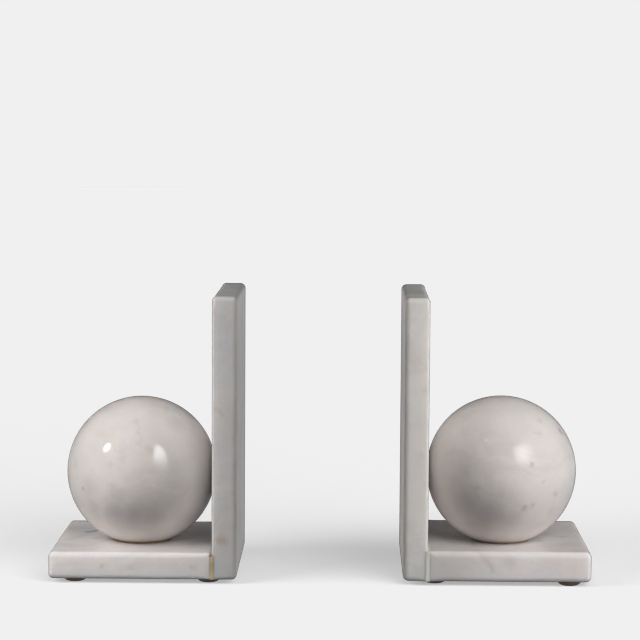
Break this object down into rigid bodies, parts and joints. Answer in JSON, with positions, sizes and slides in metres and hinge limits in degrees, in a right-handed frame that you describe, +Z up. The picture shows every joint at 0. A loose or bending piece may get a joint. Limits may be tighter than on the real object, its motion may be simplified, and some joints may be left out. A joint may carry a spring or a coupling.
{
  "type": "marble ball book ends",
  "caption": "Pair of stone book ends: each half is an upright slab glued to a base slab, braced by a polished ball, on low round feet, and stands at one end of a row of books.",
  "frame": {"origin": "middle of the pair, midway between the two book faces and midway front to back, on the plane the feet stand on", "axes": "+X along the row of books towards the right half, +Y to the back, +Z up"},
  "size_m": [0.2868, 0.1002, 0.1525],
  "materials": {
    "marble_slab": "satin",
    "marble_ball": "polished",
    "epoxy": "gloss",
    "foot_rubber": "satin",
    "foot_adhesive": "matte"
  },
  "bodies": {
    "left_bookend": {"left_base_slab": "marble_slab", "left_upright_slab": "marble_slab", "left_ball": "marble_ball", "left_seam_epoxy": "epoxy", "left_ball_seat_epoxy": "epoxy", "left_ball_side_epoxy": "epoxy", "left_foot_front_outer": "foot_rubber", "left_foot_front_inner": "foot_rubber", "left_foot_back_outer": "foot_rubber", "left_foot_back_inner": "foot_rubber", "left_foot_adhesive": "foot_adhesive"},
    "right_bookend": {"right_base_slab": "marble_slab", "right_upright_slab": "marble_slab", "right_ball": "marble_ball", "right_seam_epoxy": "epoxy", "right_ball_seat_epoxy": "epoxy", "right_ball_side_epoxy": "epoxy", "right_foot_front_outer": "foot_rubber", "right_foot_front_inner": "foot_rubber", "right_foot_back_outer": "foot_rubber", "right_foot_back_inner": "foot_rubber", "right_foot_adhesive": "foot_adhesive"}
  },
  "joints": [
    {"name": "book_gap_slide", "type": "slide", "parent": "left_bookend", "child": "right_bookend", "axis": [1, 0, 0], "range_m": [-0.084, 0.212]}
  ]
}
